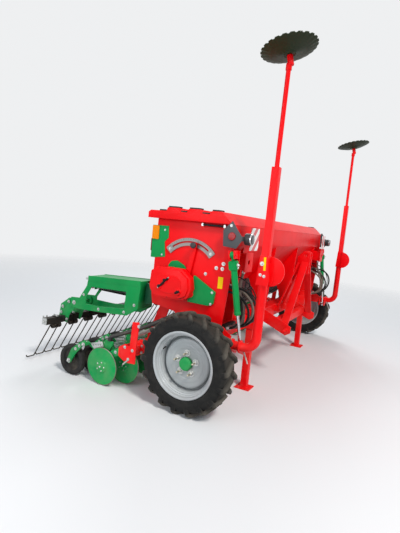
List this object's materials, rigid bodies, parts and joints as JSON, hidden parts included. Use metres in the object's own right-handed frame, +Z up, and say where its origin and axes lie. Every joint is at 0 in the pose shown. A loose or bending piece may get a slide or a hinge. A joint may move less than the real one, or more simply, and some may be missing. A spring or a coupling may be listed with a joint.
{
  "type": "seed drill",
  "caption": "Tractor-mounted mechanical seed drill: red hopper over rows of green disc coulters with press wheels, a tined harrow behind and folded marker arms.",
  "frame": {"origin": "on the floor, below the middle of the box of the whole drill", "axes": "+X to the drill's right seen from behind, across its width; +Y to the front, where the tractor's hitch goes; +Z up"},
  "size_m": [3, 2.0275, 2.3228],
  "materials": {
    "red_paint": "glossy red paint on sheet and welded steel",
    "green_paint": "semi-gloss green paint",
    "dark_green_paint": "semi-gloss dark green paint",
    "black_paint": "satin black paint",
    "grey_paint": "satin grey paint",
    "silver_paint": "silver wheel paint",
    "board_paint": "white board with red reflecting stripes",
    "zinc": "zinc plated steel",
    "chrome_rod": "polished rod",
    "tyre_rubber": "matt black rubber",
    "press_rubber": "matt black rubber",
    "hose_plastic": "matt black plastic",
    "housing_plastic": "matt black plastic",
    "red_lens": "red lens",
    "orange_lens": "orange reflector"
  },
  "bodies": {
    "frame": {"hopper": "red_paint", "end_panels": "red_paint", "front_beam": "red_paint", "hopper_supports": "red_paint", "rear_beam": "red_paint", "bar_hangers": "red_paint", "headstock": "red_paint", "headstock_ears": "red_paint", "metering_units": "housing_plastic", "seed_shaft": "zinc", "seed_tubes": "hose_plastic", "gearbox": "red_paint", "gearbox_lever": "red_paint", "scale_quadrant": "zinc", "chain_guard": "green_paint", "coulter_bar": "red_paint", "coulter_clamps": "red_paint", "coulter_arms": "green_paint", "press_arms": "green_paint", "depth_plates": "zinc", "harrow_brackets": "dark_green_paint", "harrow_arms": "green_paint", "harrow_spindles": "zinc", "light_brackets": "green_paint", "rear_lamps": "red_lens", "reflectors": "orange_lens", "board_brackets": "grey_paint", "striped_boards": "board_paint", "front_lamps": "housing_plastic", "axles": "zinc", "marker_brackets": "red_paint"},
    "lid": {"lid": "red_paint"},
    "wheel_right": {"tyre_right": "tyre_rubber", "rim_right": "silver_paint", "hub_right": "zinc", "hub_cap_right": "green_paint"},
    "marker_right": {"marker_boom_right": "red_paint"},
    "marker_wheel_right": {"marker_disc_right": "dark_green_paint"},
    "cylinder_right": {"cylinder_right": "green_paint"},
    "rod_right": {"rod_right": "chrome_rod"},
    "stand_right": {"stand_right": "red_paint"},
    "wheel_left": {"tyre_left": "tyre_rubber", "rim_left": "silver_paint", "hub_left": "zinc", "hub_cap_left": "green_paint"},
    "marker_left": {"marker_boom_left": "red_paint"},
    "marker_wheel_left": {"marker_disc_left": "dark_green_paint"},
    "cylinder_left": {"cylinder_left": "green_paint"},
    "rod_left": {"rod_left": "chrome_rod"},
    "stand_left": {"stand_left": "red_paint"},
    "harrow": {"harrow_beam": "black_paint", "harrow_tines": "black_paint"},
    "coulter_discs_front": {"discs_front": "green_paint"},
    "coulter_discs_rear": {"discs_rear": "green_paint"},
    "press_wheels_front": {"press_wheels_front": "press_rubber"},
    "press_wheels_rear": {"press_wheels_rear": "press_rubber"}
  },
  "joints": [
    {"name": "wheel_right_spin", "type": "hinge", "parent": "frame", "child": "wheel_right", "pos_m": [1.4175, 0.46125, 0.33], "axis": [1, 0, 0], "continuous": true},
    {"name": "wheel_left_spin", "type": "hinge", "parent": "frame", "child": "wheel_left", "pos_m": [-1.4175, 0.46125, 0.33], "axis": [1, 0, 0], "continuous": true},
    {"name": "lid_hinge", "type": "hinge", "parent": "frame", "child": "lid", "pos_m": [0, 0.61925, 1.2383], "axis": [-1, 0, 0], "range_deg": [0, 85]},
    {"name": "marker_right_fold", "type": "hinge", "parent": "frame", "child": "marker_right", "pos_m": [1.29, 0.73925, 0.48], "axis": [0, 1, 0], "range_deg": [0, 90]},
    {"name": "marker_right_spin", "type": "hinge", "parent": "marker_right", "child": "marker_wheel_right", "pos_m": [1.26381, 0.85625, 2.256], "axis": [0, -0.225, 0.9744], "continuous": true},
    {"name": "cylinder_right_swing", "type": "hinge", "parent": "frame", "child": "cylinder_right", "pos_m": [1.295, 0.64525, 1.05], "axis": [0, 0.9886, 0.1504], "range_deg": [-2, 3]},
    {"name": "rod_right_slide", "type": "slide", "parent": "cylinder_right", "child": "rod_right", "axis": [0.1066, -0.1495, 0.983], "range_m": [0, 0.115]},
    {"name": "stand_right_slide", "type": "slide", "parent": "frame", "child": "stand_right", "axis": [0, 0, 1], "range_m": [0, 0.35]},
    {"name": "marker_left_fold", "type": "hinge", "parent": "frame", "child": "marker_left", "pos_m": [-1.29, 0.73925, 0.48], "axis": [0, -1, 0], "range_deg": [0, 90]},
    {"name": "marker_left_spin", "type": "hinge", "parent": "marker_left", "child": "marker_wheel_left", "pos_m": [-1.26381, 0.85625, 2.256], "axis": [0, -0.225, 0.9744], "continuous": true},
    {"name": "cylinder_left_swing", "type": "hinge", "parent": "frame", "child": "cylinder_left", "pos_m": [-1.295, 0.64525, 1.05], "axis": [0, -0.9886, -0.1504], "range_deg": [-2, 3]},
    {"name": "rod_left_slide", "type": "slide", "parent": "cylinder_left", "child": "rod_left", "axis": [-0.1066, -0.1495, 0.983], "range_m": [0, 0.115]},
    {"name": "stand_left_slide", "type": "slide", "parent": "frame", "child": "stand_left", "axis": [0, 0, 1], "range_m": [0, 0.35]},
    {"name": "harrow_tilt", "type": "hinge", "parent": "frame", "child": "harrow", "pos_m": [0, -0.69875, 0.505], "axis": [-1, 0, 0], "range_deg": [0, 35]},
    {"name": "discs_front_spin", "type": "hinge", "parent": "frame", "child": "coulter_discs_front", "pos_m": [0, -0.12075, 0.1415], "axis": [1, 0, 0], "continuous": true},
    {"name": "discs_rear_spin", "type": "hinge", "parent": "frame", "child": "coulter_discs_rear", "pos_m": [0, -0.22075, 0.1415], "axis": [1, 0, 0], "continuous": true},
    {"name": "press_front_spin", "type": "hinge", "parent": "frame", "child": "press_wheels_front", "pos_m": [0, -0.42175, 0.117], "axis": [1, 0, 0], "continuous": true},
    {"name": "press_rear_spin", "type": "hinge", "parent": "frame", "child": "press_wheels_rear", "pos_m": [0, -0.52175, 0.117], "axis": [1, 0, 0], "continuous": true}
  ],
  "couplings": [
    {"joint": "cylinder_right_swing", "follows": "marker_right_fold", "ratio": 0.01},
    {"joint": "rod_right_slide", "follows": "marker_right_fold", "m_per_rad": 0.06975},
    {"joint": "cylinder_left_swing", "follows": "marker_left_fold", "ratio": 0.01},
    {"joint": "rod_left_slide", "follows": "marker_left_fold", "m_per_rad": 0.06975}
  ]
}
